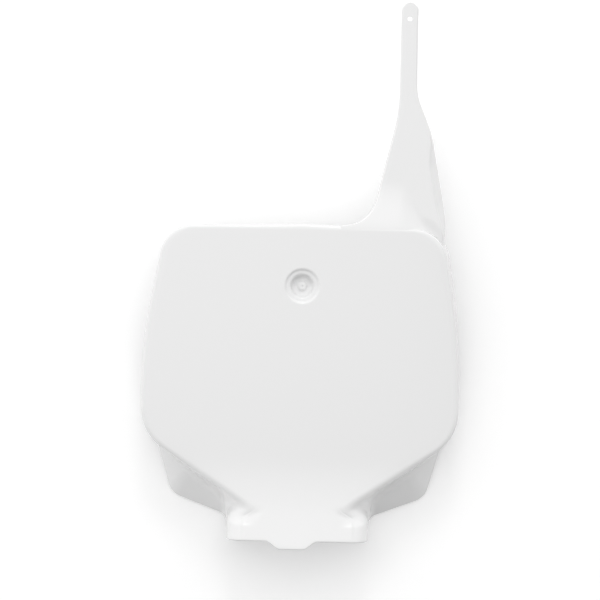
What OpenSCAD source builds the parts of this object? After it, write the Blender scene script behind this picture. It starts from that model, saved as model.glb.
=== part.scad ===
// Racing number board for the front of an off-road motorcycle.
// It is one thin-walled moulding: a crowned face with a bolt cup, a wall that
// runs back all round and deepens into two flared skirts, a collar below with
// a tabbed lip, and a long fixing strap that grows out of the top wall.
// The origin is the middle of the drill spot in the bolt cup. +X is the strap's
// side, +Y the rear and +Z the top, as the board stands on the motorcycle.

/* [Plastic] */
// Thickness of the moulded wall
wall_t = 2.5; // [2:0.1:3.2]

/* [Face] */
// Height of the top edge above the bolt cup, at the middle
top_h = 49.8; // [42:0.5:60]
// How far the top edge drops from the middle to its corners
top_bow = 3; // [1:0.5:6]
// Width across the two top corners
top_w = 220.6; // [200:1:235]
// Radius of the top corners
top_r = 26.5; // [16:0.5:32]
// Width across the shoulders, halfway down the sides
shoulder_w = 254.2; // [244:1:262]
// Depth of the shoulders below the bolt cup
shoulder_drop = 41; // [32:1:50]
// Radius of the long bend of each side at the shoulder
shoulder_r = 640; // [300:10:700]
// Width across the two lower corners
chin_w = 256.2; // [248:1:264]
// Depth of the lower corners below the bolt cup
chin_drop = 120.8; // [112:1:130]
// Radius of the lower corners
chin_r = 39; // [24:1:44]
// How far the face stands proud of its side edges
crown = 6; // [2:0.5:9]
// Radius of the edge between the face and its wall
edge_r = 5; // [3.5:0.5:7]

/* [Wall] */
// Depth of the wall at the top edge
top_wall = 15; // [12:1:22]
// Depth of the wall at the shoulders
shoulder_wall = 22; // [16:1:30]
// Depth of the wall where the skirts begin
chin_wall = 38; // [30:1:46]
// Draft of the wall, in degrees
draft = 2; // [1:0.5:4]

/* [Skirts] */
// Depth of the skirts, from front to rear
skirt_wall = 50; // [42:1:60]
// Width across the lowest corners of the skirts
skirt_w = 209; // [196:1:218]
// Depth of the lowest corners of the skirts below the bolt cup
skirt_drop = 171.8; // [164:1:178]
// Radius of those corners
skirt_r = 17; // [8:1:22]
// Depth of the steep part of each skirt, before it flares out
skirt_steep = 20; // [12:1:26]

/* [Collar] */
// Width of the collar outside
collar_w = 114; // [106:1:120]
// Depth of the collar's lip below the bolt cup
lip_drop = 203.8; // [196:1:212]
// Depth of the place where the face runs into the collar
neck_drop = 181; // [176:0.5:186]
// Width of the neck, where the two skirt edges end
neck_w = 74; // [64:1:84]
// Radius of the collar's upright corners
collar_r = 13; // [9:0.5:16]
// Length of the collar's side walls, from the lip to the rear
collar_len = 48; // [36:1:54]
// Slope of the collar's front, in degrees forward of upright
collar_tilt = 13; // [6:0.5:18]
// Depth of the hollow beside the neck, behind the face
neck_dip = 4; // [2:0.5:6]
// Width of the tab on the lip
tab_w = 30; // [18:0.5:36]
// Drop of the tab below the lip
tab_drop = 6.2; // [3:0.2:10]
// Place of the tab to the left of the middle
tab_off = 4.6; // [0:0.2:10]

/* [Bolt cup] */
// Diameter of the washer seat
seat_d = 26; // [22:0.5:30]
// Depth of the washer seat in the face
seat_depth = 1.6; // [1:0.1:2.4]
// Diameter of the cup in the seat
cup_d = 18; // [14:0.5:20]
// Depth of the cup below the seat
cup_depth = 5.5; // [3:0.5:9]
// Diameter of the drill spot in the middle of the cup
spot_d = 7; // [4:0.5:9]
// Height of the drill spot above the cup's floor
spot_h = 1.6; // [0.6:0.1:2.4]

/* [Strap] */
// Height of the strap's end above the bolt cup
strap_top = 229.9; // [180:1:250]
// Width of the strap along its parallel part
strap_w = 13.5; // [11.5:0.5:18]
// Distance of the strap's middle from the board's middle
strap_x = 82.2; // [72:0.2:88]
// Height where the parallel part starts
strap_neck = 144; // [130:1:160]
// Width that the root spreads to the left of the strap's edge
root_left = 22.4; // [18:0.2:28]
// Radius of the hollow where the root meets the top edge
root_r = 30; // [20:1:36]
// Width that the root spreads to the right of the strap's edge
root_right = 16; // [12:0.2:18]
// Height of the root's right shoulder
root_shoulder = 104; // [94:1:112]
// How far the strap lies behind the board's edge
strap_back = 7; // [5:0.5:10]
// Depth of the root's side flanges
flange_depth = 12; // [8:0.5:14]
// How far the right flange flares out
flange_flare = 6.4; // [3:0.2:8]
// How far the board's right wall swells out under the root
root_swell = 4; // [0:0.5:6]
// Diameter of the hole in the strap's end
hole_d = 4; // [3:0.1:6]
// Distance of the hole from the strap's end
hole_in = 13.1; // [9:0.1:18]

/* [Hidden] */
eps = 0.01;

// Shares of the wall that the small rounds and overlaps take
rim_round = 0.35 * wall_t;
overlap = 0.6 * wall_t;

// Vector helpers
function unit(v) = v / norm(v);
function mix(a, b, t) = a + (b - a) * t;
function smooth(t) = let (s = min(1, max(0, t))) s * s * (3 - 2 * s);
function flip(p) = [-p[0], p[1], p[2]];

// The forward surface of the face: a crown across the width, and a curve
// below flare_top that runs forward into the straight front of the collar
flare_top = 140;
flare_run = 50;
function lean(z) =
    let (d = max(0, -z - flare_top))
    tan(collar_tilt) * (d < flare_run ? d * d / (2 * flare_run) : d - flare_run / 2);
function face_y(x, z) = crown * pow(2 * x / chin_w, 2) - lean(z);
function on_face(x, z) = [x, face_y(x, z), z];

// A corner of a loop, rounded by an arc of radius r that ends on both legs.
// Where the legs are almost in line, it still takes min_leg of each.
min_leg = 4;
function corner(a, p, b, r, n) =
    let (
        u = unit(a - p),
        v = unit(b - p),
        half = acos(max(-1, min(1, -(u * v)))) / 2,
        leg = min(max(r * tan(half), min_leg), 0.48 * norm(a - p), 0.48 * norm(b - p)),
        w = cos(half)
    )
    [for (i = [0:n])
        let (t = i / n, k = [(1 - t) * (1 - t), 2 * t * (1 - t) * w, t * t])
        (k[0] * (p + leg * u) + k[1] * p + k[2] * (p + leg * v)) / (k[0] + k[1] + k[2])];

// Steps along each rounded corner, and along each straight leg before it.
// All loops share them, so that their points lie in matching columns.
arc_steps = [0, 8, 5, 8, 6, 4, 4, 7, 0];
leg_steps = [0, 5, 1, 1, 2, 2, 2, 3, 16];

// The right half of a loop, from its top middle to its bottom middle.
// Each entry is a corner and its radius.
function half_loop(loop) =
    let (
        last = len(loop) - 1,
        arcs = [for (k = [0:last])
            k == 0 || k == last ? [loop[k][0]]
            : corner(loop[k - 1][0], loop[k][0], loop[k + 1][0], loop[k][1], arc_steps[k])]
    )
    [for (k = [0:last])
        each concat(
            k == 0 ? [] : let (a = arcs[k - 1][len(arcs[k - 1]) - 1], b = arcs[k][0])
                [for (i = [1:1:leg_steps[k] - 1]) mix(a, b, i / leg_steps[k])],
            arcs[k])];

function whole_loop(loop) =
    let (half = half_loop(loop), n = len(half))
    concat(half, [for (i = [n - 2:-1:1]) flip(half[i])]);

// Edge loop: the sharp line where the face and its wall would meet.
// Along the skirts it runs from the lower corner (share 0) to the neck (1).
skirt_edge = (chin_w - neck_w) / 2;
neck_lift = 2;
edge_fall = neck_drop - neck_lift - chin_drop;
edge_soft = 20;
neck_soft = 16;
function edge_at(share) = [chin_w / 2 - skirt_edge * share, 0, -chin_drop - edge_fall * share];
edge_loop = [
    [[0, 0, top_h], 0],
    [[top_w / 2, 0, top_h - top_bow], top_r],
    [[shoulder_w / 2, 0, -shoulder_drop], shoulder_r],
    [[chin_w / 2, 0, -chin_drop], chin_r],
    [edge_at(0.44), edge_soft],
    [edge_at(0.72), edge_soft],
    [edge_at(0.86), edge_soft],
    [edge_at(1), neck_soft],
    [[0, 0, -neck_drop], 0]];

// Rim loop: the rear edge of the wall, the skirts and the collar. Above the
// lower corners it turns in a long bend, chin_rise higher than the corner, and
// behind the collar it steps down over the heel to the rear end of the lip.
chin_tuck = 0.8;
chin_rise = 29;
chin_turn = 150;
heel_out = 2;
heel_fall = 17;
heel_r = 8;
heel_foot_r = 4;
collar_draft = 0.5;
rim_out = tan(draft);
half_collar = collar_w / 2;
lip_y = face_y(half_collar, -lip_drop);
heel_y = lip_y + collar_len;
rim_loop = [
    [[0, top_wall, top_h + rim_out * top_wall], 0],
    [[top_w / 2 + rim_out * top_wall, crown + top_wall, top_h - top_bow], top_r],
    [[shoulder_w / 2 + rim_out * shoulder_wall, crown + shoulder_wall, -shoulder_drop], shoulder_r],
    [[chin_w / 2 - chin_tuck, crown + chin_wall, chin_rise - chin_drop], chin_turn],
    [[skirt_w / 2, skirt_wall, -skirt_drop], skirt_r],
    [[half_collar + heel_out, skirt_wall, -skirt_drop - heel_fall], heel_r],
    [[half_collar, heel_y, -lip_drop], heel_foot_r],
    [[half_collar - collar_draft, lip_y, -lip_drop], collar_r],
    [[0, face_y(0, -lip_drop), -lip_drop], 0]];

// Bend loop: the corners that the wall bends round between edge and rim.
// Each offset below moves one of them off the edge line, or off the collar.
chin_out = [0.5, 0, 6];
skirt_foot = [3, 0, -8];
armpit_rear = [5, 6, 4];
armpit_front = [0.8, 0, 1];
front_corner = [-1.5, 0, -1];
front_foot = 9;
chin_more = 10;
skirt_foot_r = 24;
armpit_rear_r = 12;
armpit_front_r = 8;
neck_corner = [half_collar, skirt_steep, -neck_drop];
bend_loop = [
    [[0, top_wall / 2, top_h + rim_out * top_wall / 2], 0],
    [[top_w / 2 + rim_out * top_wall / 2, crown + top_wall / 2, top_h - top_bow], top_r],
    [[shoulder_w / 2 + rim_out * shoulder_wall / 2, crown + shoulder_wall / 2, -shoulder_drop], shoulder_r],
    [[chin_w / 2, crown + skirt_steep, -chin_drop] + chin_out, chin_r + chin_more],
    [edge_at(0.44) + [0, skirt_steep, 0] + skirt_foot, skirt_foot_r],
    [neck_corner + armpit_rear, armpit_rear_r],
    [neck_corner + armpit_front, armpit_front_r],
    [[half_collar, face_y(half_collar, -neck_drop) + neck_dip, -neck_drop] + front_corner, collar_r],
    [on_face(0, -neck_drop - front_foot), 0]];

// The right wall swells out towards the strap's root. The swell starts at the
// height swell_low and at the distance swell_in from the middle.
swell_low = -60;
swell_rise = 90;
swell_in = 85;
swell_run = 25;
function swell(p) =
    root_swell * smooth((p[2] - swell_low) / swell_rise) * smooth((p[0] - swell_in) / swell_run);

edge_pts = [for (p = whole_loop(edge_loop)) on_face(p[0], p[2])];
// Across the collar's front the bend follows the face, and dips towards the
// corners: the dip starts dip_in inside the neck's width and takes dip_run
dip_in = 10;
dip_run = 16;
function dip(x) = neck_dip * smooth((abs(x) - neck_w / 2 + dip_in) / dip_run);
front_half = half_collar - collar_r;
bend_pts = [for (p = whole_loop(bend_loop))
    p[2] < 0 && abs(p[0]) < front_half ? on_face(p[0], p[2]) + [0, dip(p[0]), 0]
    : p + [swell(p) / 2, 0, 0]];
rim_flat = whole_loop(rim_loop);
columns = len(edge_pts);

// The tab lowers the lip between two sloped shoulders, in line with the front
tab_slope = 9;
function tab_z(x) =
    tab_drop * smooth((tab_w / 2 + tab_slope / 2 - abs(x + tab_off)) / tab_slope);
rim_pts = [for (p = rim_flat)
    p[2] > -skirt_drop ? p + [swell(p), 0, 0] : p - tab_z(p[0]) * [0, tan(collar_tilt), 1]];

// The middle that the rings of the face close in on
pole = on_face(0, (top_h - neck_drop) / 2);
wall_steps = 4;
edge_steps = 4;
face_rings = [0.88, 0.76, 0.62, 0.45, 0.22];

function bezier(a, p, b, n) =
    [for (i = [1:n]) let (t = i / n) (1 - t) * (1 - t) * a + 2 * t * (1 - t) * p + t * t * b];
function toward(a, b, d) = a + unit(b - a) * min(d, 0.5 * norm(b - a));

// One column of the outer surface: from the rim, round the bend of the wall,
// up the steep part, over the rounded edge and in across the face
function column(i) =
    let (
        r = rim_pts[i],
        c = bend_pts[i],
        e = edge_pts[i],
        k = toward(e, c, 2 * edge_r),
        m = mix(r, c, 0.5),
        a = mix(k, e, 0.5),
        g = toward(e, pole, edge_r),
        b = on_face(g[0], g[2])
    )
    concat(
        [r, m],
        bezier(m, c, k, wall_steps),
        [a],
        bezier(a, e, b, edge_steps),
        [for (s = face_rings) on_face(mix(pole[0], g[0], s), mix(pole[2], g[2], s))]);

outer = [for (i = [0:columns - 1]) column(i)];
rows = len(outer[0]);

// The inner surface lies one wall thickness behind the outer one
function wrap(i) = (i + columns) % columns;
function normal(i, j) =
    let (
        along = outer[wrap(i + 1)][j] - outer[wrap(i - 1)][j],
        up = outer[i][min(rows - 1, j + 1)] - outer[i][max(0, j - 1)]
    )
    unit(cross(along, up));
inner = [for (i = [0:columns - 1]) [for (j = [0:rows - 1]) outer[i][j] + wall_t * normal(i, j)]];
rim_mid = [for (i = [0:columns - 1])
    mix(outer[i][0], inner[i][0], 0.5) + rim_round * unit(outer[i][0] - outer[i][1])];

// A closed skin over rings of points, with a fan on the point at each end
module skin(rings, first, last) {
    n = len(rings[0]);
    m = len(rings);
    points = concat([first], [for (ring = rings) each ring], [last]);
    ring_faces = [for (j = [0:m - 2], i = [0:n - 1])
        let (
            a = 1 + j * n + i,
            b = 1 + j * n + (i + 1) % n,
            c = a + n,
            d = b + n
        )
        each [[a, b, d], [a, d, c]]];
    first_faces = [for (i = [0:n - 1]) [0, 1 + (i + 1) % n, 1 + i]];
    end = len(points) - 1;
    last_faces = [for (i = [0:n - 1]) [end, 1 + (m - 1) * n + i, 1 + (m - 1) * n + (i + 1) % n]];
    polyhedron(points, concat(first_faces, ring_faces, last_faces), convexity = 8);
}

// Board: face, edge, wall, skirts and collar
module board() {
    inner_rings = [for (j = [rows - 1:-1:0]) [for (i = [0:columns - 1]) inner[i][j]]];
    outer_rings = [for (j = [0:rows - 1]) [for (i = [0:columns - 1]) outer[i][j]]];
    skin(concat(inner_rings, [rim_mid], outer_rings), pole + [0, wall_t, 0], pole);
}

// Outline of the board's top edge, as height over distance from the middle
top_outline = [for (p = half_loop(edge_loop)) if (p[2] > -shoulder_drop) [p[0], p[2]]];
function board_top(x) = lookup(x, top_outline);

// Left and right outlines of the strap, as distance over height
strap_left = strap_x - strap_w / 2;
strap_right = strap_x + strap_w / 2;
strap_end = strap_top + strap_w;
foot_under = 0.6;
foot_run = 60;
neck_left_r = 150;
neck_right_r = 60;
shoulder_bend_r = 30;
foot_out = 8;
foot_h = 20;
left_foot = [strap_left - root_left, 0, top_h - foot_under];
left_neck = [strap_left, 0, strap_neck];
left_end = [strap_left, 0, strap_end];
left_line = concat(
    corner(left_foot - [foot_run, 0, 0], left_foot, left_neck, root_r, 8),
    corner(left_foot, left_neck, left_end, neck_left_r, 5),
    [left_end]);
right_foot = [top_w / 2 + foot_out, 0, foot_h];
right_shoulder = [strap_right + root_right, 0, root_shoulder];
right_neck = [strap_right, 0, strap_neck];
right_end = [strap_right, 0, strap_end];
right_line = concat(
    [right_foot],
    corner(right_foot, right_shoulder, right_neck, shoulder_bend_r, 5),
    corner(right_shoulder, right_neck, right_end, neck_right_r, 5),
    [right_end]);
function over_height(line) = [for (p = line) [p[2], p[0]]];
left_table = over_height(left_line);
right_table = over_height(right_line);
function left_x(z) = lookup(z, left_table);
function right_x(z) = lookup(z, right_table);

// Depth of the strap's panel and of its flanges at a height. The panel starts
// foot_y behind the face and ramps back; the flanges stand lip_h behind its back
// along the strap, and grow to their full depth below the neck.
ramp_h = 16;
foot_y = 2;
lip_h = 0.4;
flange_more = 10;
flare_over = 17;
flare_run_h = 32;
function panel_y(x, z) =
    let (foot = board_top(x), t = (z - foot) / ramp_h)
    crown * pow(2 * x / chin_w, 2) + mix(foot_y, strap_back, smooth(t));
function flange(z) =
    let (run = strap_neck - root_shoulder + flange_more)
    wall_t + lip_h + (flange_depth - wall_t) * smooth((strap_neck - z) / run);
function flare(z) = flange_flare * smooth((root_shoulder + flare_over - z) / flare_run_h);

// One cross-section of the strap, from its foot (f = 0) to its end (f = 1), as
// a row of points along its front and a row along its inside, left to right
across = 10;
soft = 1;
side_draft = 0.3;
corner_draft = 0.1;
fillet = 0.2;
function strap_row(f) =
    let (
        zl = mix(left_foot[2] - overlap + eps, strap_end, f),
        zr = mix(right_foot[2], strap_end, f),
        xl = left_x(zl),
        xo = right_x(zr),
        xr = xo - flare(zr),
        xs = [for (k = [0:across]) mix(xl, xr, k / across)],
        zs = [for (x = xs) mix(board_top(x) - overlap, strap_end, f)],
        ys = [for (k = [0:across]) panel_y(xs[k], zs[k])],
        z1 = zs[0],
        y1 = ys[0],
        z2 = zs[across],
        y2 = ys[across],
        front = concat(
            [[xl - side_draft, y1 + flange(z1), z1]],
            [[xl - corner_draft, y1 + soft, z1]],
            [[xl + soft, y1, z1]],
            [for (k = [1:across - 1]) [xs[k], ys[k], zs[k]]],
            [[xr - soft, y2, z2]],
            [[xr + corner_draft, y2 + soft, z2]],
            [[xo, y2 + flange(z2), z2]]),
        il = xl + wall_t,
        ir = xr - wall_t,
        inside = concat(
            [[il - side_draft, y1 + flange(z1), z1]],
            [[il, y1 + wall_t + fillet, z1]],
            [[il + soft / 2, y1 + wall_t, z1]],
            [for (k = [1:across - 1])
                [mix(il + soft / 2, ir - soft / 2, k / across), ys[k] + wall_t, zs[k]]],
            [[ir - soft / 2, y2 + wall_t, z2]],
            [[ir, y2 + wall_t + fillet, z2]],
            [[xo - wall_t, y2 + flange(z2), z2]])
    )
    [front, inside];

// The rows lie closer together near the foot
strap_rows = 28;
foot_share = 0.35;
function strap_f(j) = let (t = j / strap_rows) mix(t * t, t, foot_share);

// A sheet with a front and an inside grid of points, closed along its borders
module sheet(front, inside) {
    m = len(front);
    n = len(front[0]);
    points = concat([for (row = front) each row], [for (row = inside) each row]);
    function f(j, k) = j * n + k;
    function b(j, k) = m * n + j * n + k;
    function quad(p, q, r, s) = [[p, q, r], [p, r, s]];
    faces = concat(
        [for (j = [0:m - 2], k = [0:n - 2])
            each concat(
                quad(f(j, k), f(j + 1, k), f(j + 1, k + 1), f(j, k + 1)),
                quad(b(j, k), b(j, k + 1), b(j + 1, k + 1), b(j + 1, k)))],
        [for (j = [0:m - 2])
            each concat(
                quad(f(j, 0), b(j, 0), b(j + 1, 0), f(j + 1, 0)),
                quad(f(j, n - 1), f(j + 1, n - 1), b(j + 1, n - 1), b(j, n - 1)))],
        [for (k = [0:n - 2])
            each concat(
                quad(f(0, k), f(0, k + 1), b(0, k + 1), b(0, k)),
                quad(f(m - 1, k), b(m - 1, k), b(m - 1, k + 1), f(m - 1, k + 1)))]);
    polyhedron(points, faces, convexity = 6);
}

// Length of the cutters that pass through the strap from front to rear
cut_l = 60;
module strap() {
    grid = [for (j = [0:strap_rows]) strap_row(strap_f(j))];
    difference() {
        sheet([for (row = grid) row[0]], [for (row = grid) row[1]]);
        translate([strap_x, 0, strap_top - strap_w / 2])
            rotate([-90, 0, 0])
                round_end();
        translate([strap_x, 0, strap_top - hole_in])
            rotate([-90, 0, 0])
                cylinder(h = cut_l, d = hole_d, $fn = 48);
    }
}

// What is cut away round the strap's end
module round_end() {
    difference() {
        translate([-strap_w, -2 * strap_w, 0])
            cube([2 * strap_w, 2 * strap_w, cut_l]);
        translate([0, 0, -1])
            cylinder(h = cut_l + 2, d = strap_w, $fn = 96);
    }
}

// Bolt cup: profiles in the plane of its radius and its depth
cup_floor = seat_depth + cup_depth;
seat_soft = 0.4;
cup_soft = 0.8;
spot_draft = 0.3;
seat_flare = 1.5;
back_step = 1;
back_draft = 0.5;
module cup_body() {
    rotate([-90, 0, 0])
        rotate_extrude($fn = 64)
            polygon([
                [0, wall_t / 2],
                [seat_d / 2 + wall_t, wall_t / 2],
                [seat_d / 2 + wall_t, seat_depth + wall_t],
                [cup_d / 2 + wall_t, seat_depth + wall_t + back_step],
                [cup_d / 2 + wall_t - back_draft, cup_floor + wall_t],
                [0, cup_floor + wall_t]]);
}

module cup_space() {
    rotate([-90, 0, 0])
        rotate_extrude($fn = 64)
            polygon([
                [0, -1],
                [seat_d / 2 + seat_flare, -1],
                [seat_d / 2 + seat_soft, seat_soft],
                [seat_d / 2, seat_depth - seat_soft],
                [cup_d / 2 + cup_soft, seat_depth],
                [cup_d / 2, seat_depth + cup_soft],
                [cup_d / 2, cup_floor - cup_soft],
                [cup_d / 2 - cup_soft, cup_floor],
                [spot_d / 2 + spot_draft, cup_floor],
                [spot_d / 2, cup_floor - spot_h],
                [0, cup_floor - spot_h]]);
}

// The shapes above are drawn from the level of the face in the middle, and the
// whole board is then moved forward until its drill spot lies in the origin
module number_board() {
    color("white")
        translate([0, spot_h - cup_floor, 0])
            difference() {
                union() {
                    board();
                    strap();
                    cup_body();
                }
                cup_space();
            }
}

number_board();
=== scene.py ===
import math
import bpy
import numpy as np
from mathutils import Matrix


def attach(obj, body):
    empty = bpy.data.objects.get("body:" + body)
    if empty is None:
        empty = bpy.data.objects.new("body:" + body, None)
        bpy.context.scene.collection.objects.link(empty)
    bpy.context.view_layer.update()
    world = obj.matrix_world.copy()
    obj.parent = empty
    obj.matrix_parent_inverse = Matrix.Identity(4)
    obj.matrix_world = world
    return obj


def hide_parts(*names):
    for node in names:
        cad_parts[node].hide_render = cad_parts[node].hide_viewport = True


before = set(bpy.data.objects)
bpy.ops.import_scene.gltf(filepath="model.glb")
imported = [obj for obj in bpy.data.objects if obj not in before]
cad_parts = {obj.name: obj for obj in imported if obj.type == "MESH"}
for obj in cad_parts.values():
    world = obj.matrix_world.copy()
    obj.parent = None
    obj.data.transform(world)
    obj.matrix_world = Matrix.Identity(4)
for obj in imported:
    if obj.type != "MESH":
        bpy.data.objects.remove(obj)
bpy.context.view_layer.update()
print("stage: frame loaded")

# The moulding is drawn in millimetres; everything in the scene is in metres
mm = 0.001


# Each vector divided by its own length
def unit(v):
    return v / np.linalg.norm(v, axis=-1, keepdims=True)


# The point at a share t of the way from a to b
def mix(a, b, t):
    return a + (b - a) * t


# A soft step from nought to one: 3 s^2 - 2 s^3, where s is t kept between the two
def smooth(t):
    s = np.clip(t, 0.0, 1.0)
    return s * s * (3 - 2 * s)


# A rounded corner at p between a and b, close to an arc of the given radius. It is
# the mean of its two ends and of p, with the weights (1 - t)^2, t^2 and 2t (1 - t)
# times the cosine of half the turn. It takes less than half of either leg.
def corner(a, p, b, radius, steps, minLeg=4.0, mostOfLeg=0.48):
    a, p, b = (np.asarray(q, float) for q in (a, p, b))
    legA = np.linalg.norm(a - p)
    legB = np.linalg.norm(b - p)
    u = (a - p) / legA
    v = (b - p) / legB
    half = math.acos(max(-1.0, min(1.0, -float(u @ v)))) / 2
    leg = min(max(radius * math.tan(half), minLeg), mostOfLeg * legA, mostOfLeg * legB)
    weight = math.cos(half)
    t = np.linspace(0, 1, steps + 1)[:, None]
    k0, k1, k2 = (1 - t) ** 2, 2 * t * (1 - t) * weight, t ** 2
    return (k0 * (p + leg * u) + k1 * p + k2 * (p + leg * v)) / (k0 + k1 + k2)


# An open line through rounded corners, each given as a point and a radius, with
# even steps along the straight legs between them
def roundedLine(corners, arcSteps, legSteps, minLeg=4.0):
    last = len(corners) - 1
    pieces = []
    for k, (point, radius) in enumerate(corners):
        if k in (0, last):
            arc = np.asarray([point], float)
        else:
            arc = corner(corners[k - 1][0], point, corners[k + 1][0], radius, arcSteps[k], minLeg)
        if pieces:
            t = np.arange(1, legSteps[k])[:, None] / legSteps[k]
            pieces.append(mix(pieces[-1][-1], arc[0], t))
        pieces.append(arc)
    return np.concatenate(pieces)


# A closed loop: its right half, then the same points mirrored on the left
def wholeLoop(corners, arcSteps, legSteps):
    half = roundedLine(corners, arcSteps, legSteps)
    mirrored = half[-2:0:-1] * np.array([-1.0, 1.0, 1.0])
    return np.concatenate([half, mirrored])


# Rings in even steps on the straight way from a to b, without the first
def straight(a, b, steps):
    t = (np.arange(1, steps + 1) / steps)[:, None, None]
    return mix(a, b, t)


# Rings on the quadratic curve from a to b with its corner at p, without the first:
# a times (1 - t)^2, p times 2t (1 - t) and b times t^2, added up
def bend(a, p, b, steps):
    t = (np.arange(1, steps + 1) / steps)[:, None, None]
    return (1 - t) ** 2 * a + 2 * t * (1 - t) * p + t ** 2 * b


# The point at a distance from a towards b, but at most at a share of the gap
def toward(a, b, distance, most=0.5):
    gap = np.linalg.norm(b - a, axis=-1, keepdims=True)
    return a + (b - a) / gap * np.minimum(distance, most * gap)


# The board's sizes in millimetres, grouped by its forms. Most are the solid's. The
# skirts' steep part, the bend's corners, the collar's dip and slopes and the cup's
# edges are fitted to the photograph.
board = {
    "face": {
        "topHeight": 49.8,
        "topBow": 3.0,
        "topWidth": 220.6,
        "topRadius": 26.5,
        "shoulderWidth": 254.2,
        "shoulderDrop": 41.0,
        "shoulderRadius": 640.0,
        "chinWidth": 256.2,
        "chinDrop": 120.8,
        "chinRadius": 39.0,
        "crown": 6.0,
        "edgeRadius": 5.0,
    },
    "wall": {
        "thickness": 2.5,
        "topDepth": 15.0,
        "shoulderDepth": 22.0,
        "chinDepth": 38.0,
        "draft": 2.0,  # degrees
        "rimShare": 0.35,  # rounding of the rim, as a share of the thickness
        "rearShare": 0.7,  # straight share of the way from the rim to the bend's corner
        "edgeMost": 0.34,  # most of the way from the edge to the bend that the rounding takes
        "steepMost": 0.68,  # and most of it that lies above the bend
        "steepRadii": 3,  # length above the bend, in radii of the edge
        "swell": 4.0,  # the right wall stands out by this much under the strap
        "swellDrop": 60.0,
        "swellRise": 90.0,
        "swellIn": 85.0,
        "swellRun": 25.0,
    },
    "skirt": {
        "depth": 50.0,
        "width": 209.0,
        "drop": 171.8,
        "radius": 17.0,
        "steep": 29.0,
        "edgeShares": (0.44, 0.72, 0.86, 1.0),  # corners along the slanted edge, chin to neck
        "edgeBends": (20.0, 20.0, 20.0, 16.0),  # and their radii
    },
    "collar": {
        "width": 114.0,
        "lipDrop": 203.8,
        "lipIn": 0.5,
        "neckDrop": 181.0,
        "neckWidth": 74.0,
        "neckRise": 2.0,  # the slanted edges end this far above the neck
        "neckUnder": 1.0,
        "cornerRadius": 13.0,
        "cornerIn": 1.5,
        "cornerUnder": 4.0,
        "footUnder": 9.0,  # the face runs on this far below the neck, in the middle
        "length": 48.0,
        "tilt": 13.0,  # degrees
        "dip": 3.5,
        "dipFrom": 32.0,
        "dipRun": 14.0,
        "dipDepth": 16.0,  # behind this depth the dip has faded out
        "dipFade": 14.0,
        "dipDrop": 175.0,
        "tabWidth": 30.0,
        "tabDrop": 6.2,
        "tabOffset": 4.6,
        "tabSlope": 12.0,
        "flareTop": 140.0,
        "flareRun": 50.0,
    },
    # Corners of the wall's rim and of its bend, each as a move out, back and up from
    # the place named in the loops, and a radius
    "corners": {
        "rimChin": (-0.8, 0, 29, 150),
        "rimHeel": (2, 0, -17, 8),
        "rimCollar": (0, 0, 0, 4),
        "bendChin": (0.5, 0, 6, 49),
        "bendSkirt": (1.6, 0, -4.4, 24),
        "bendHollowRear": (5, 4, 9, 12),
        "bendHollowFront": (0.8, 0, 1, 8),
    },
    "cup": {
        "seatDiameter": 26.0,
        "seatDepth": 1.6,
        "seatSlope": 0.1,
        "diameter": 18.0,
        "depth": 5.5,
        "spotDiameter": 7.0,
        "spotHeight": 1.6,
        "apron": 3.5,  # ring of the face round the seat
        "backApron": 6.0,
        "backStep": 0.8,
        "middle": 0.05,  # radius of the last ring, which a fan closes
        # Edges of the cup, each as a move out from its radius and a rounding
        "brim": (1.0, 1.8),
        "seatEdge": (-0.6, 1.2),
        "mouth": (0.6, 1.8),
        "floorEdge": (-1.6, 3.2),
        "spotFoot": (0.9, 1.2),
        "spotTop": (-0.7, 1.2),
        "backBrim": (0, 0.6),
        "backSeat": (0, 0.8),
        "backMouth": (0, 0.8),
        "backFloor": (-0.4, 1.2),
    },
}
face = board["face"]
wall = board["wall"]
skirt = board["skirt"]
collar = board["collar"]
cup = board["cup"]
spotLevel = cup["seatDepth"] + cup["depth"] - cup["spotHeight"]


# Forward surface: crown times the square of x over half the width, less a lean
# below flareTop that grows with the square of the drop and then runs on straight
def faceDepth(x, z):
    down = np.maximum(0.0, -z - collar["flareTop"])
    run = collar["flareRun"]
    curve = np.where(down < run, down * down / (2 * run), down - run / 2)
    lean = math.tan(math.radians(collar["tilt"])) * curve
    return face["crown"] * (2 * x / face["chinWidth"]) ** 2 - lean


# Points of the forward surface over their place in the front view
def onFace(x, z):
    return np.stack([x, faceDepth(x, z), z], axis=-1)


# The forward surface's depth at one place, as a plain number
def depthAt(x, z):
    return float(faceDepth(np.array(float(x)), np.array(float(z))))


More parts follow.
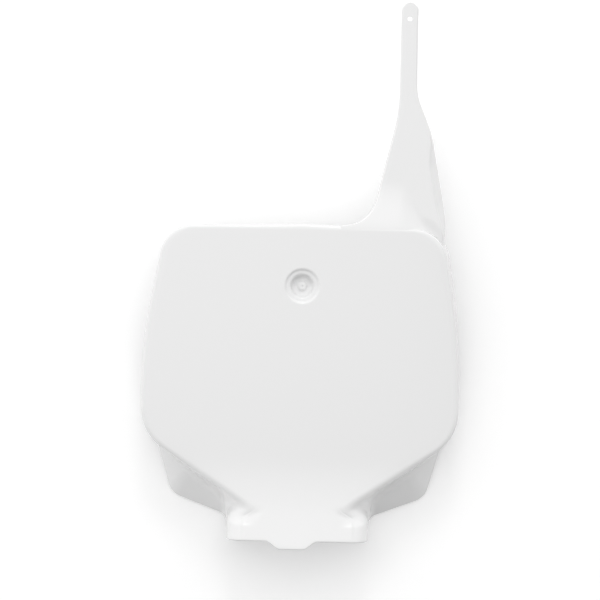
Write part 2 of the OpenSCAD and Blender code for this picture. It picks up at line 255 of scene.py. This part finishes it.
# Makes a mesh object from rings of points, closed by a fan at each end or, for
# a flat section, by strips between its two sides. Points come in millimetres
# from the level of the face; the frame's origin is the drill spot in the cup.
def skinObject(name, rings, capStrips=False):
    rows, count = rings.shape[:2]
    points = rings.reshape(-1, 3) - [0, spotLevel, 0]
    j, i = np.meshgrid(np.arange(rows - 1), np.arange(count), indexing="ij")
    a = (j * count + i).ravel()
    b = (j * count + (i + 1) % count).ravel()
    quads = np.stack([a, b, b + count, a + count], axis=1)
    lastRow = (rows - 1) * count
    if capStrips:
        k = np.arange(count // 2 - 1)
        first = np.stack([k, count - 1 - k, count - 2 - k, k + 1], axis=1)
        last = first[:, ::-1] + lastRow
        faces = np.concatenate([quads, first, last]).tolist()
    else:
        tips = np.stack([rings[0].mean(axis=0), rings[-1].mean(axis=0)])
        points = np.concatenate([points, tips])
        i = np.arange(count)
        n = (i + 1) % count
        low = np.stack([np.full(count, rows * count), n, i], axis=1)
        high = np.stack([np.full(count, rows * count + 1), lastRow + i, lastRow + n], axis=1)
        faces = quads.tolist() + low.tolist() + high.tolist()
    # Signed volume by the divergence theorem over the quads: if it is negative
    # the faces point inwards and are turned
    p = points[quads]
    volume = np.einsum("ij,ij->i", p[:, 0], np.cross(p[:, 1], p[:, 2])).sum()
    volume += np.einsum("ij,ij->i", p[:, 0], np.cross(p[:, 2], p[:, 3])).sum()
    if volume < 0:
        faces = [f[::-1] for f in faces]
    mesh = bpy.data.meshes.new(name)
    mesh.from_pydata((points * mm).tolist(), [], faces)
    mesh.update()
    mesh.polygons.foreach_set("use_smooth", np.ones(len(mesh.polygons), bool))
    obj = bpy.data.objects.new(name, mesh)
    bpy.context.collection.objects.link(obj)
    return obj


# The board's shell is skinned over three loops: the edge of the face, the rim of
# the wall, and the bend between them. Their corners match one to one, from the
# middle of the top down to the middle of the collar, and so do their points.
arcSteps = [0, 20, 26, 24, 14, 10, 10, 16, 0]
legSteps = [0, 24, 8, 8, 8, 8, 8, 8, 64]
halfTop = face["topWidth"] / 2
halfShoulder = face["shoulderWidth"] / 2
halfChin = face["chinWidth"] / 2
halfCollar = collar["width"] / 2
crown = face["crown"]
thick = wall["thickness"]
edgeRadius = face["edgeRadius"]
draftOut = math.tan(math.radians(wall["draft"]))
edgeIn = (face["chinWidth"] - collar["neckWidth"]) / 2
edgeFall = collar["neckDrop"] - collar["neckRise"] - face["chinDrop"]
cornerTop = face["topHeight"] - face["topBow"]
lipDepth = depthAt(halfCollar, -collar["lipDrop"])
cornerLevel = -collar["cornerUnder"] - collar["neckDrop"]
cornerDepth = depthAt(halfCollar, -collar["neckDrop"] - collar["neckUnder"]) + collar["dip"]


# Point at a share of the slanted edge, from the chin to the neck
def edgeAt(share):
    return (halfChin - edgeIn * share, 0.0, -face["chinDrop"] - edgeFall * share)


# A place with the corner's named move added, and the corner's radius
def moved(place, name):
    out, back, up, radius = board["corners"][name]
    return ((place[0] + out, place[1] + back, place[2] + up), radius)


# Corners of the wall's upper part at a share of its depth, out by the draft
def wallCorners(share):
    top = wall["topDepth"] * share
    side = wall["shoulderDepth"] * share
    shoulder = (halfShoulder + draftOut * side, crown + side, -face["shoulderDrop"])
    return [
        ((0, top, face["topHeight"] + draftOut * top), 0),
        ((halfTop + draftOut * top, crown + top, cornerTop), face["topRadius"]),
        (shoulder, face["shoulderRadius"]),
    ]


edgeCorners = [
    ((0, 0, face["topHeight"]), 0),
    ((halfTop, 0, cornerTop), face["topRadius"]),
    ((halfShoulder, 0, -face["shoulderDrop"]), face["shoulderRadius"]),
    ((halfChin, 0, -face["chinDrop"]), face["chinRadius"]),
    *[(edgeAt(share), radius) for share, radius in zip(skirt["edgeShares"], skirt["edgeBends"])],
    ((0, 0, -collar["neckDrop"]), 0),
]
rimCorners = wallCorners(1.0) + [
    moved((halfChin, crown + wall["chinDepth"], -face["chinDrop"]), "rimChin"),
    ((skirt["width"] / 2, skirt["depth"], -skirt["drop"]), skirt["radius"]),
    moved((halfCollar, skirt["depth"], -skirt["drop"]), "rimHeel"),
    moved((halfCollar, lipDepth + collar["length"], -collar["lipDrop"]), "rimCollar"),
    ((halfCollar - collar["lipIn"], lipDepth, -collar["lipDrop"]), collar["cornerRadius"]),
    ((0, depthAt(0, -collar["lipDrop"]), -collar["lipDrop"]), 0),
]
skirtMiddle = edgeAt(skirt["edgeShares"][0])
bendCorners = wallCorners(0.5) + [
    moved((halfChin, crown + skirt["steep"], -face["chinDrop"]), "bendChin"),
    moved((skirtMiddle[0], skirt["steep"], skirtMiddle[2]), "bendSkirt"),
    moved((halfCollar, skirt["steep"], -collar["neckDrop"]), "bendHollowRear"),
    moved((halfCollar, skirt["steep"], -collar["neckDrop"]), "bendHollowFront"),
    ((halfCollar - collar["cornerIn"], cornerDepth, cornerLevel), collar["cornerRadius"]),
    ((0, 0, -collar["footUnder"] - collar["neckDrop"]), 0),
]

edgeLine = wholeLoop(edgeCorners, arcSteps, legSteps)
edgePoints = onFace(edgeLine[:, 0], edgeLine[:, 2])
rimPoints = wholeLoop(rimCorners, arcSteps, legSteps)
bendPoints = wholeLoop(bendCorners, arcSteps, legSteps)


# The right wall swells out towards the strap's root: a soft step over the height
# times a soft step over the distance from the middle
def swell(p):
    up = smooth((p[:, 2] + wall["swellDrop"]) / wall["swellRise"])
    out = smooth((p[:, 0] - wall["swellIn"]) / wall["swellRun"])
    return wall["swell"] * up * out


# Across the collar's front the bend follows the face, and dips near its corners
frontHalf = halfCollar - collar["cornerRadius"]
onFront = (bendPoints[:, 2] < 0) & (np.abs(bendPoints[:, 0]) < frontHalf)
dip = collar["dip"] * smooth((np.abs(bendPoints[:, 0]) - collar["dipFrom"]) / collar["dipRun"])
frontDepth = faceDepth(bendPoints[:, 0], bendPoints[:, 2]) + dip
bendPoints[:, 0] += swell(bendPoints) / 2
bendPoints[:, 1] = np.where(onFront, frontDepth, bendPoints[:, 1])
rimPoints[:, 0] += swell(rimPoints)

# The tab lowers the lip between two sloped shoulders, in line with the front
slope = collar["tabSlope"]
reach = (collar["tabWidth"] + slope) / 2
tabShare = smooth((reach - np.abs(rimPoints[:, 0] + collar["tabOffset"])) / slope)
tabFall = collar["tabDrop"] * tabShare * (rimPoints[:, 2] < -skirt["drop"])
rimPoints[:, 2] -= tabFall
rimPoints[:, 1] -= tabFall * math.tan(math.radians(collar["tilt"]))

# Outer surface, ring by ring: from the rim, round the bend of the wall, up its
# steep part, over the rounded edge and in across the face to the cup. The dip is
# taken out of the collar's front again on its way down to the lip.
upperBend = toward(edgePoints, bendPoints, wall["steepRadii"] * edgeRadius, wall["steepMost"])
dipShare = smooth((collar["dipDepth"] - bendPoints[:, 1]) / collar["dipFade"])
dipShare = dipShare * (bendPoints[:, 2] < -collar["dipDrop"])
wallMiddle = mix(rimPoints, bendPoints, wall["rearShare"])
wallMiddle[:, 1] -= wall["rearShare"] * dip * dipShare
edgeStart = toward(edgePoints, bendPoints, edgeRadius, wall["edgeMost"])
edgeEndLine = toward(edgePoints * [1, 0, 1], np.zeros_like(edgePoints), edgeRadius)
edgeEnd = onFace(edgeEndLine[:, 0], edgeEndLine[:, 2])


# Rings across the face, from the edge's rounding straight in to a circle round the cup
def faceRings(radius, steps):
    ring = unit(edgeEndLine) * radius
    t = (np.arange(1, steps + 1) / steps)[:, None]
    x = mix(edgeEndLine[:, 0], ring[:, 0], t)
    z = mix(edgeEndLine[:, 2], ring[:, 2], t)
    return onFace(x, z)


# Rings round the cup's axis from a rounded profile of radius, depth and rounding:
# each is a circle of the radius, at the profile's depth behind the face
def cupRings(profile, steps=4):
    corners = [((radius, depth, 0), rounding) for radius, depth, rounding in profile]
    line = roundedLine(corners, [steps] * len(corners), [2] * len(corners), minLeg=0.05)
    rings = unit(edgeEndLine)[None] * line[1:, 0][:, None, None]
    rings[:, :, 1] = faceDepth(rings[:, :, 0], rings[:, :, 2]) + line[1:, 1][:, None]
    return rings


# A corner of the cup's profile: its named edge, moved out from a radius
def cupEdge(name, radius, depth):
    out, rounding = cup[name]
    return (radius + out, depth, rounding)


rimRound = wall["rimShare"] * thick
rimStart = toward(rimPoints, wallMiddle, rimRound)
wallRings = np.concatenate([
    rimStart[None],
    straight(rimStart, wallMiddle, steps=6),
    bend(wallMiddle, bendPoints, upperBend, steps=14),
    straight(upperBend, edgeStart, steps=4),
    bend(edgeStart, edgePoints, edgeEnd, steps=12),
])

# The inner surface lies one wall thickness behind the outer one, along its
# normal: the cross product of the steps along the ring and up the wall
along = np.roll(wallRings, -1, axis=1) - np.roll(wallRings, 1, axis=1)
up = np.gradient(wallRings, axis=0)
innerWall = wallRings + thick * unit(np.cross(along, up))

seat = cup["seatDiameter"] / 2
bore = cup["diameter"] / 2
spot = cup["spotDiameter"] / 2
floor = cup["seatDepth"] + cup["depth"]
outerFace = faceRings(seat + cup["apron"], steps=20)
outerCup = cupRings([
    (seat + cup["apron"], 0, 0),
    cupEdge("brim", seat, 0),
    cupEdge("seatEdge", seat, cup["seatDepth"] - cup["seatSlope"]),
    cupEdge("mouth", bore, cup["seatDepth"] + cup["seatSlope"]),
    cupEdge("floorEdge", bore, floor),
    cupEdge("spotFoot", spot, floor),
    cupEdge("spotTop", spot, floor - cup["spotHeight"]),
    (cup["middle"], floor - cup["spotHeight"], 0),
])
innerFace = faceRings(seat + cup["backApron"], steps=8) + [0, thick, 0]
innerCup = cupRings([
    (seat + cup["backApron"], thick, 0),
    cupEdge("backBrim", seat + thick, thick),
    cupEdge("backSeat", seat + thick, cup["seatDepth"] + thick),
    cupEdge("backMouth", bore + thick, cup["seatDepth"] + thick + cup["backStep"]),
    cupEdge("backFloor", bore + thick, floor + thick),
    (cup["middle"], floor + thick, 0),
])

# Rounded rim between the two surfaces: half an ellipse below their last points
rimSteps = 8
rimCentre = mix(wallRings[0], innerWall[0], 0.5)
rimDown = unit(wallRings[0] - wallRings[2]) * rimRound
angle = np.linspace(math.pi, 0, rimSteps + 1)[1:-1, None, None]
rimRings = rimCentre + np.cos(angle) * (wallRings[0] - rimCentre) + np.sin(angle) * rimDown
boardRings = np.concatenate([
    innerCup[::-1],
    innerFace[::-1],
    innerWall[::-1],
    rimRings,
    wallRings,
    outerFace,
    outerCup,
])
boardPiece = skinObject("boardShell", boardRings)
print("stage: board", len(boardPiece.data.polygons))

# The strap's sizes in millimetres. Its reach, neck and hole and the depth of its
# flanges are the solid's. Its right side, ramp, flare and pocket are fitted to the
# photograph.
strap = {
    "top": 229.9,
    "width": 13.5,
    "middle": 82.2,
    "neck": 144.0,
    "neckLeftRadius": 150.0,
    "neckRightRadius": 60.0,
    "rootLeft": 22.4,
    "rootRadius": 30.0,
    "rootUnder": 0.6,
    "rootRun": 60.0,
    "rootRight": 14.0,
    "shoulder": 107.0,
    "shoulderRadius": 30.0,
    "hipOut": 5.0,
    "hipHeight": 38.0,
    "hipRadius": 20.0,
    "footOut": 2.5,
    "footHeight": 14.0,
    "footIn": 5.2,  # how far the foot reaches down behind the board's top edge
    "back": 7.0,
    "faceGap": 0.01,  # keeps the foot from lying in the face itself
    "flangeDepth": 12.0,
    "flangeLip": 0.4,
    "flangeMore": 10.0,
    "flangeEnd": 22.2,  # depth that no flange passes
    "flangeFlare": 7.2,
    "flareOver": 9.0,
    "flareRun": 40.0,
    "flareLow": 18.0,
    "flareRise": 32.0,
    "rampHeight": 42.0,
    "rampIn": 4.2,
    "rampFade": 0.85,
    "pocketX": 76.0,
    "pocketRun": 30.0,
    "pocketHeight": 8.0,
    "pocketIn": 9.0,
    "pocketDip": 2.0,
    "pocketDipRun": 14.0,
    "frontLeftRound": 1.6,
    "frontRightRound": 1.8,
    "smallRound": 0.8,
    "leastWidth": 0.1,
    "wallMost": 0.3,  # most of a section's width that one wall takes
    "holeDiameter": 4.0,
    "holeIn": 13.1,
}

# Outline of the board's top edge, as a table to look up in
topLine = roundedLine(edgeCorners, arcSteps, legSteps)
topLine = topLine[topLine[:, 2] > -face["shoulderDrop"]]


# Height of the board's top edge over the distance from the middle, to the right
def boardTop(x):
    return np.interp(x, topLine[:, 0], topLine[:, 2])


# The strap's two sides from foot to end. Each ends a little past the strap's own
# end, so that every height on it can be looked up.
leftX = strap["middle"] - strap["width"] / 2
rightX = strap["middle"] + strap["width"] / 2
strapEnd = strap["top"]
leftFoot = (leftX - strap["rootLeft"], 0, face["topHeight"] - strap["rootUnder"])
beforeFoot = (leftFoot[0] - strap["rootRun"], 0, leftFoot[2])
leftNeck = (leftX, 0, strap["neck"])
leftEnd = (leftX, 0, strapEnd)
leftLine = np.concatenate([
    corner(beforeFoot, leftFoot, leftNeck, strap["rootRadius"], steps=40),
    corner(leftFoot, leftNeck, leftEnd, strap["neckLeftRadius"], steps=30),
    [[leftX, 0, strapEnd + 1]],
])
rightFoot = (halfTop + strap["footOut"], 0, strap["footHeight"])
rightHip = (halfTop + strap["hipOut"], 0, strap["hipHeight"])
rightShoulder = (rightX + strap["rootRight"], 0, strap["shoulder"])
rightNeck = (rightX, 0, strap["neck"])
rightEnd = (rightX, 0, strapEnd)
rightLine = np.concatenate([
    [rightFoot],
    corner(rightFoot, rightHip, rightShoulder, strap["hipRadius"], steps=16),
    corner(rightHip, rightShoulder, rightNeck, strap["shoulderRadius"], steps=24),
    corner(rightShoulder, rightNeck, rightEnd, strap["neckRightRadius"], steps=24),
    [[rightX, 0, strapEnd + 1]],
])
endRadius = strap["width"] / 2
endCentre = strap["top"] - endRadius


# The strap's outlines as distance over height. Round its end they draw in as a
# circle does: the radius times the root of one less the square of the height over
# the circle's middle, counted in radii.
def outlineX(line, z, side):
    x = np.interp(z, line[:, 2], line[:, 0])
    over = np.clip((z - endCentre) / endRadius, 0, 1)
    return np.where(over > 0, strap["middle"] + side * endRadius * np.sqrt(1 - over ** 2), x)


# Depth of the strap's front: the crown, which flattens to its depth at the strap's
# middle, and a rise to the back that fades in up the ramp. The ramp is long on the
# left and steep on the right, where it sinks a little further in a pocket behind
# the board's rounded corner.
def panelDepth(x, z):
    steep = smooth((x - strap["pocketX"]) / strap["pocketRun"])
    start = mix(strap["rampIn"], strap["pocketIn"], steep)
    height = mix(strap["rampHeight"], strap["pocketHeight"], steep)
    rise = smooth(np.clip((z - boardTop(x) + start) / height, 0, 1) ** strap["rampFade"])
    flatter = mix(x, strap["middle"], rise)
    pocket = strap["pocketDip"] * steep ** 3 * smooth((boardTop(x) - z) / strap["pocketDipRun"] + 1)
    crowned = crown * (2 * flatter / face["chinWidth"]) ** 2
    return crowned + strap["back"] * rise + pocket + strap["faceGap"]


# Depth of the flanges: a low lip up the strap, and a soft step to their full depth
# below the neck
def flangeDepth(z):
    run = strap["neck"] - strap["shoulder"] + strap["flangeMore"]
    lip = thick + strap["flangeLip"]
    return lip + (strap["flangeDepth"] - thick) * smooth((strap["neck"] - z) / run)


# The right flange flares out below the shoulder and closes again towards its foot:
# two soft steps over the height, multiplied
def flangeFlare(z):
    down = smooth((strap["shoulder"] + strap["flareOver"] - z) / strap["flareRun"])
    return strap["flangeFlare"] * down * smooth((z - strap["flareLow"]) / strap["flareRise"])


# One closed section of the strap at a share of its height: a channel with
# rounded corners, its right flange flared out, its left one square. The walls
# thin out where the end is narrower than they need.
def strapSection(share):
    foot = leftFoot[2] - strap["footIn"]
    zLeft = mix(foot, strapEnd, share)
    zRight = mix(rightFoot[2], strapEnd, share)
    left = float(outlineX(leftLine, zLeft, -1))
    outer = float(outlineX(rightLine, zRight, 1))
    right = outer - float(flangeFlare(zRight))
    width = max(right - left, strap["leastWidth"])
    t = min(thick, strap["wallMost"] * width)
    deepLeft, deepRight = (
        float(flangeDepth(mix(float(boardTop(x)) - strap["footIn"], strapEnd, share)))
        for x in (left, right)
    )
    small = strap["smallRound"]
    corners = [
        ((left, deepLeft, 0), small),
        ((left, 0, 0), strap["frontLeftRound"]),
        ((right, 0, 0), strap["frontRightRound"]),
        ((outer, deepRight, 0), small),
        ((outer - t, deepRight, 0), small),
        ((right - t, thick, 0), small),
        ((left + t, thick, 0), small),
        ((left + t, deepLeft, 0), small),
    ]
    count = len(corners)
    places = [place for place, rounding in corners]
    legs = [6, 28, 6, 2, 6, 28, 6, 2]  # even steps on the way from each corner to the next
    arcs = [
        corner(places[k - 1], places[k], places[(k + 1) % count], corners[k][1], steps=5, minLeg=0.05)
        for k in range(count)
    ]
    ring = []
    for k in range(count):
        ring.append(arcs[k])
        shares = np.arange(1, legs[k])[:, None] / legs[k]
        ring.append(mix(arcs[k][-1], arcs[(k + 1) % count][0], shares))
    ring = np.concatenate(ring)
    x = np.clip(ring[:, 0], left, right)
    z = mix(boardTop(x) - strap["footIn"], strapEnd, share)
    depth = np.minimum(panelDepth(x, z) + ring[:, 1], strap["flangeEnd"])
    return np.stack([ring[:, 0], depth, z], axis=-1)


# Heights of the sections: close at the root, and closer still round the end,
# where they follow the circle by the sine of an even angle. The last one stays
# a little short of the top, so that it keeps some width.
stemSections, endSections = 110, 22
rootHeight = 50
evenShare = 0.35
tipShare = 0.98
stem = np.linspace(0, 1, stemSections)
endShare = (endCentre - rootHeight) / (strapEnd - rootHeight)
stem = mix(stem ** 2, stem, evenShare) * endShare
endTurn = np.linspace(0, 1, endSections)[1:]
tip = endShare + (1 - endShare) * np.sin(endTurn * tipShare * math.pi / 2)
strapRings = np.stack([strapSection(share) for share in np.concatenate([stem, tip])])
strapPiece = skinObject("fixingStrap", strapRings, True)

# The screw hole near the strap's end is cut by a round bar of its diameter
barSides = 64
barLength = 30.0
turns = np.arange(barSides) * (2 * math.pi / barSides)
disc = np.stack([np.cos(turns), np.zeros(barSides), np.sin(turns)], axis=-1) * strap["holeDiameter"] / 2
holeCentre = [strap["middle"], 0, strap["top"] - strap["holeIn"]]
barRings = np.stack([disc + holeCentre + [0, depth, 0] for depth in (0.0, barLength)])
holeBar = skinObject("holeBar", barRings)
cut = strapPiece.modifiers.new("screwHole", "BOOLEAN")
cut.operation = "DIFFERENCE"
cut.solver = "EXACT"
cut.object = holeBar
graph = bpy.context.evaluated_depsgraph_get()
cutMesh = bpy.data.meshes.new_from_object(strapPiece.evaluated_get(graph))
strapPiece.modifiers.clear()
strapPiece.data = cutMesh
bpy.data.objects.remove(holeBar)
sharpAngle = 45
cutMesh.set_sharp_from_angle(angle=math.radians(sharpAngle))
print("stage: strap", len(strapPiece.data.polygons))

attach(boardPiece, "root")
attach(strapPiece, "root")
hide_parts("number_board")
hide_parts("number_board")


# An sRGB hex colour turned to linear values, with full alpha
def linear(hexColour):
    values = [int(hexColour[k:k + 2], 16) / 255 for k in (0, 2, 4)]
    return [v / 12.92 if v <= 0.04045 else ((v + 0.055) / 1.055) ** 2.4 for v in values] + [1.0]


# Adds a node, with settings for its sockets or its own properties, and links
def addNode(tree, kind, settings=None, links=None):
    node = tree.nodes.new(kind)
    for key, value in (settings or {}).items():
        if isinstance(key, int) or key in node.inputs:
            node.inputs[key].default_value = value
        else:
            setattr(node, key, value)
    for key, source in (links or {}).items():
        tree.links.new(source, node.inputs[key])
    return node


# One where a ray comes from the camera, a reflection or a clear piece, else nought
def seenRays(tree):
    ray = addNode(tree, "ShaderNodeLightPath")
    either = addNode(tree, "ShaderNodeMath", {"operation": "MAXIMUM"},
        {0: ray.outputs["Is Camera Ray"], 1: ray.outputs["Is Glossy Ray"]})
    return addNode(tree, "ShaderNodeMath", {"operation": "MAXIMUM"},
        {0: either.outputs[0], 1: ray.outputs["Is Transmission Ray"]}).outputs[0]


# An empty material and its node tree
def newMaterial(name):
    material = bpy.data.materials.new(name)
    material.use_nodes = True
    material.node_tree.nodes.clear()
    return material, material.node_tree


# Injection-moulded polypropylene from a polished tool: an even white with a soft
# gloss, so lamps show in it as blurred patches. Slow waves a few centimetres long,
# as a moulded wall has, bend what it mirrors.
plastic = {
    "colour": "EBEBEB",
    "roughness": 0.2,
    "ior": 1.49,
    "waviness": 0.03,
    "waveScaleMm": 45.0,
    "waveHeightMm": 1.0,
}


def makePlastic():
    material, tree = newMaterial("injectionMouldedPolypropylene")
    place = addNode(tree, "ShaderNodeTexCoord")
    waves = addNode(tree, "ShaderNodeTexNoise", {
        "Scale": 1 / (plastic["waveScaleMm"] * mm),
        "Detail": 1.0,
    }, {"Vector": place.outputs["Object"]})
    bump = addNode(tree, "ShaderNodeBump", {
        "Strength": plastic["waviness"],
        "Distance": plastic["waveHeightMm"] * mm,
    }, {"Height": waves.outputs["Fac"]})
    shader = addNode(tree, "ShaderNodeBsdfPrincipled", {
        "Base Color": linear(plastic["colour"]),
        "Roughness": plastic["roughness"],
        "IOR": plastic["ior"],
    }, {"Normal": bump.outputs["Normal"]})
    addNode(tree, "ShaderNodeOutputMaterial", {}, {"Surface": shader.outputs["BSDF"]})
    return material


plasticMaterial = makePlastic()
for piece in (boardPiece, strapPiece):
    piece.data.materials.append(plasticMaterial)

# Backdrop: a wall just behind the moulding in matt white paint, even and without
# any shine. It keeps the shadow, and is clear when seen from behind, so that the
# back can be looked at. Its half width is in metres.
backdrop = {
    "depthMm": 53.0,
    "halfWidth": 2.4,
    "colour": "F8F8F8",
    "ownLight": 0.17,  # for the camera and for reflections, and no light on the moulding
}


def makeBackdrop():
    material, tree = newMaterial("paintedBackdrop")
    diffuse = addNode(tree, "ShaderNodeBsdfDiffuse", {"Color": linear(backdrop["colour"])})
    own = addNode(tree, "ShaderNodeMath", {"operation": "MULTIPLY", 1: backdrop["ownLight"]},
        {0: seenRays(tree)})
    glow = addNode(tree, "ShaderNodeEmission", {}, {"Strength": own.outputs[0]})
    lit = addNode(tree, "ShaderNodeAddShader", {},
        {0: diffuse.outputs["BSDF"], 1: glow.outputs["Emission"]})
    clear = addNode(tree, "ShaderNodeBsdfTransparent")
    side = addNode(tree, "ShaderNodeNewGeometry")
    both = addNode(tree, "ShaderNodeMixShader", {},
        {"Fac": side.outputs["Backfacing"], 1: lit.outputs["Shader"], 2: clear.outputs["BSDF"]})
    addNode(tree, "ShaderNodeOutputMaterial", {}, {"Surface": both.outputs["Shader"]})
    half = backdrop["halfWidth"]
    depth = (backdrop["depthMm"] - spotLevel) * mm
    corners = [(-half, depth, -half), (half, depth, -half), (half, depth, half), (-half, depth, half)]
    mesh = bpy.data.meshes.new("backdrop")
    mesh.from_pydata(corners, [], [(0, 1, 2, 3)])
    mesh.materials.append(material)
    obj = bpy.data.objects.new("backdrop", mesh)
    bpy.context.collection.objects.link(obj)
    return obj


makeBackdrop()
print("stage: materials")

# Lamps: one large and soft, up and to the left in front, and one small and higher
# up, which draws the top edges and the shadow. Places and sizes are in metres, power
# in watts, and both are turned to the origin.
lamps = {
    "keyLamp": {"place": (-0.25, -2.3, 0.7), "size": 1.9, "power": 6.5},
    "highLamp": {"place": (0.0, -1.6, 2.1), "size": 0.6, "power": 8.0},
}
for name, lamp in lamps.items():
    lampData = bpy.data.lights.new(name, "AREA")
    lampData.shape = "SQUARE"
    lampData.size = lamp["size"]
    lampData.energy = lamp["power"]
    lampObject = bpy.data.objects.new(name, lampData)
    bpy.context.collection.objects.link(lampObject)
    place = np.array(lamp["place"])
    lampObject.location = place
    aim = unit(-place)
    lampObject.rotation_euler = (math.acos(-aim[2]), 0, math.atan2(-aim[0], aim[1]))

# The room grows evenly brighter up to the left, is dimmer in front, where the
# camera stands, and dark below to the right. Each follows the direction's share
# along a side, and the three are multiplied.
sky = {
    "upper": {"side": (-0.2, 0.0, 0.98), "shares": (-1.0, 1.0), "values": (1.09, 1.36)},
    "front": {"side": (0.0, -1.0, 0.0), "shares": (0.2, 0.9), "values": (1.0, 0.64)},
    "below": {"side": (0.3, 0.0, -0.95), "shares": (0.35, 0.85), "values": (1.0, 0.0)},
    "colour": "FFFFFF",
}


# A factor that runs from one value to another while the direction's share along a
# side, which is their dot product, runs from one share to another
def sideFactor(tree, direction, side, shares, values):
    share = addNode(tree, "ShaderNodeVectorMath", {"operation": "DOT_PRODUCT", 1: side}, {0: direction})
    return addNode(tree, "ShaderNodeMapRange", {
        "From Min": shares[0],
        "From Max": shares[1],
        "To Min": values[0],
        "To Max": values[1],
    }, {"Value": share.outputs["Value"]}).outputs["Result"]


def makeWorld():
    world = bpy.data.worlds.new("studio")
    world.use_nodes = True
    tree = world.node_tree
    tree.nodes.clear()
    way = addNode(tree, "ShaderNodeTexCoord").outputs["Generated"]
    upper, front, below = (sideFactor(tree, way, **sky[part]) for part in ("upper", "front", "below"))
    dims = addNode(tree, "ShaderNodeMath", {"operation": "MULTIPLY"}, {0: front, 1: below})
    strength = addNode(tree, "ShaderNodeMath", {"operation": "MULTIPLY"}, {0: upper, 1: dims.outputs[0]})
    room = addNode(tree, "ShaderNodeBackground", {"Color": linear(sky["colour"])},
        {"Strength": strength.outputs[0]})
    white = addNode(tree, "ShaderNodeBackground", {"Color": (1, 1, 1, 1), "Strength": 1.0})
    shown = addNode(tree, "ShaderNodeMixShader", {},
        {"Fac": seenRays(tree), 1: room.outputs["Background"], 2: white.outputs["Background"]})
    addNode(tree, "ShaderNodeOutputWorld", {}, {"Surface": shown.outputs["Shader"]})
    return world


bpy.context.scene.world = makeWorld()

# Camera: straight on from the front, with a long lens, turned a little about its
# axis. Lengths are in metres, the sensor in millimetres and the roll in degrees.
camera = {
    "distance": 1.8,
    "middle": (-0.0016, -0.0112),
    "frameWidth": 0.48,
    "sensor": 36.0,
    "roll": 1.2,
    "clipEnd": 20,
}
cameraData = bpy.data.cameras.new("camera")
cameraData.sensor_width = camera["sensor"]
cameraData.lens = camera["sensor"] * camera["distance"] / camera["frameWidth"]
cameraData.clip_end = camera["clipEnd"]
view = bpy.data.objects.new("camera", cameraData)
bpy.context.collection.objects.link(view)
view.location = (camera["middle"][0], -camera["distance"] - spotLevel * mm, camera["middle"][1])
view.rotation_euler = (math.radians(90), math.radians(-camera["roll"]), 0)
bpy.context.scene.camera = view
bpy.context.scene.view_settings.view_transform = "Standard"
print("stage: lamps and camera")
